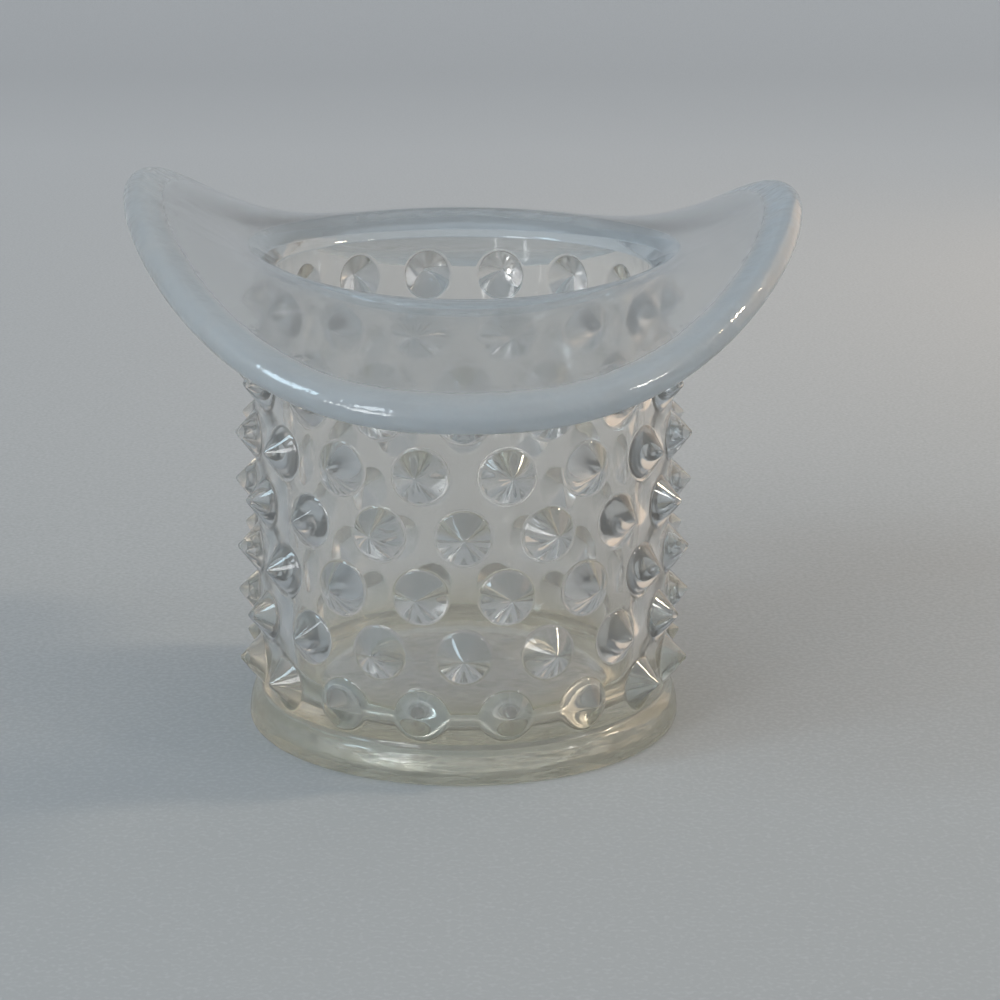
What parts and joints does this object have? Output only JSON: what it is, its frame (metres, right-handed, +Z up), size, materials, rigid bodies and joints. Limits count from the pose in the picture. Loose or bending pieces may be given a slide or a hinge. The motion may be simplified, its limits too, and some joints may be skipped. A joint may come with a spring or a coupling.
{
  "type": "glass hat vase",
  "caption": "Pressed glass hat standing on its crown: pointed hobs round a straight wall, a thick foot, and a saddle-shaped brim with turned-up sides and a milky rolled lip. Holds small things.",
  "frame": {"origin": "centre of the flat ring under the foot, on the surface that the hat stands on", "axes": "+Z up along the crown's axis, X across the two turned-up sides of the brim, -Y towards the front edge of the brim"},
  "size_m": [0.0864, 0.1095, 0.0731],
  "materials": {
    "foot_glass": "gloss, clear with a faint warm yellow-green tint",
    "clear_glass": "gloss, clear",
    "milky_glass": "gloss, faintly milky blue",
    "opal_glass": "gloss, milky blue-white opalescent"
  },
  "bodies": {
    "root": {"foot": "foot_glass", "crown_wall": "clear_glass", "hob_row_1": "clear_glass", "hob_row_2": "clear_glass", "hob_row_3": "clear_glass", "hob_row_4": "clear_glass", "hob_row_5": "clear_glass", "hob_row_6": "clear_glass", "hob_row_7": "clear_glass", "neck": "milky_glass", "brim": "milky_glass", "brim_lip": "opal_glass"}
  },
  "joints": []
}
